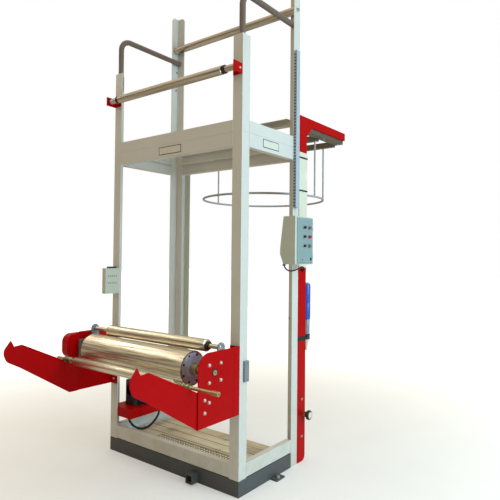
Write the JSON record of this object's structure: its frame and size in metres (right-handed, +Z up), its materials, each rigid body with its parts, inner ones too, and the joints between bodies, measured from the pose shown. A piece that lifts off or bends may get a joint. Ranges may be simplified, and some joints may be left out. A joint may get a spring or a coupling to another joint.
{
  "type": "blown film take-off tower with surface winder",
  "caption": "Steel take-off tower of a blown film line: angle columns, header rings, guide rollers, red surface winder with drum and arms, bubble guide and control box.",
  "frame": {"origin": "on the floor under the middle of the machine's overall box", "axes": "+X to the operator's right across the machine, +Y from the winder at the front to the bubble guide at the back, +Z up"},
  "size_m": [1.578, 2.5469, 3.702],
  "materials": {
    "beige_paint": "pebble beige enamel on steel sections",
    "base_paint": "slate grey enamel",
    "deck_board": "worn light board",
    "tread_steel": "tear pattern plate",
    "red_paint": "glossy signal red enamel",
    "rear_red_paint": "red enamel",
    "roller_chrome": "turned and chromed roller face",
    "bare_steel": "machined steel",
    "dark_steel": "dark steel bars",
    "motor_iron": "black enamel on castings",
    "box_paint": "light grey green powder coat",
    "black_plastic": "moulded",
    "duct_plastic": "slotted duct",
    "filter_blue": "moulded blue housing",
    "valve_brass": "cast body with cream dial",
    "black_rubber": "flexible conduit"
  },
  "bodies": {
    "root": {"base_frame": "base_paint", "base_socket": "base_paint", "anchor_lugs": "base_paint", "deck": "deck_board", "tread_plate": "tread_steel", "front_columns": "beige_paint", "rear_columns": "beige_paint", "bottom_rail_front": "beige_paint", "bottom_rail_sides": "beige_paint", "lower_header_front": "beige_paint", "lower_header_rear": "beige_paint", "lower_header_sides": "beige_paint", "upper_header_front": "beige_paint", "upper_header_rear": "beige_paint", "upper_header_sides": "beige_paint", "front_posts": "beige_paint", "rear_posts": "beige_paint", "guard_tubes": "beige_paint", "guide_blocks": "red_paint", "winder_plate_right": "red_paint", "winder_plate_left": "red_paint", "winder_arm_right": "red_paint", "winder_arm_left": "red_paint", "drum_bearings": "bare_steel", "lay_on_brackets": "bare_steel", "drive_guard": "red_paint", "motor_shelf": "red_paint", "drive_motor": "motor_iron", "rear_uprights": "rear_red_paint", "rear_arms": "rear_red_paint", "back_beam": "beige_paint", "guide_rails": "dark_steel", "guide_beams": "dark_steel", "bubble_guide": "dark_steel", "control_box": "box_paint", "control_knobs": "black_plastic", "junction_box": "box_paint", "wiring_duct": "duct_plastic", "air_filter": "filter_blue", "pressure_valve": "valve_brass", "column_latch": "bare_steel", "motor_hose": "black_rubber", "hose_glands": "black_plastic", "box_cable": "black_rubber", "cable_glands": "black_plastic"},
    "drum": {"winding_drum": "roller_chrome"},
    "lay_on": {"lay_on_roller": "roller_chrome"},
    "guide": {"guide_roller": "roller_chrome"},
    "top": {"top_roller": "roller_chrome"},
    "spindle_carriage": {"spindle_rings": "bare_steel"},
    "spindle": {"winding_spindle": "roller_chrome"}
  },
  "joints": [
    {"name": "drum_spin", "type": "hinge", "parent": "root", "child": "drum", "pos_m": [-0.067, -0.6375, 0.84], "axis": [1, 0, 0], "continuous": true},
    {"name": "lay_on_spin", "type": "hinge", "parent": "root", "child": "lay_on", "pos_m": [-0.067, -0.5685, 0.98], "axis": [1, 0, 0], "continuous": true},
    {"name": "guide_spin", "type": "hinge", "parent": "root", "child": "guide", "pos_m": [-0.067, -0.4555, 2.762], "axis": [1, 0, 0], "continuous": true},
    {"name": "top_spin", "type": "hinge", "parent": "root", "child": "top", "pos_m": [-0.067, 0.2495, 3.402], "axis": [1, 0, 0], "continuous": true},
    {"name": "spindle_travel", "type": "slide", "parent": "root", "child": "spindle_carriage", "axis": [0, -0.8983, 0.4394], "range_m": [0, 0.3]},
    {"name": "spindle_spin", "type": "hinge", "parent": "spindle_carriage", "child": "spindle", "pos_m": [-0.067, -0.8305, 0.78455], "axis": [1, 0, 0], "continuous": true}
  ]
}
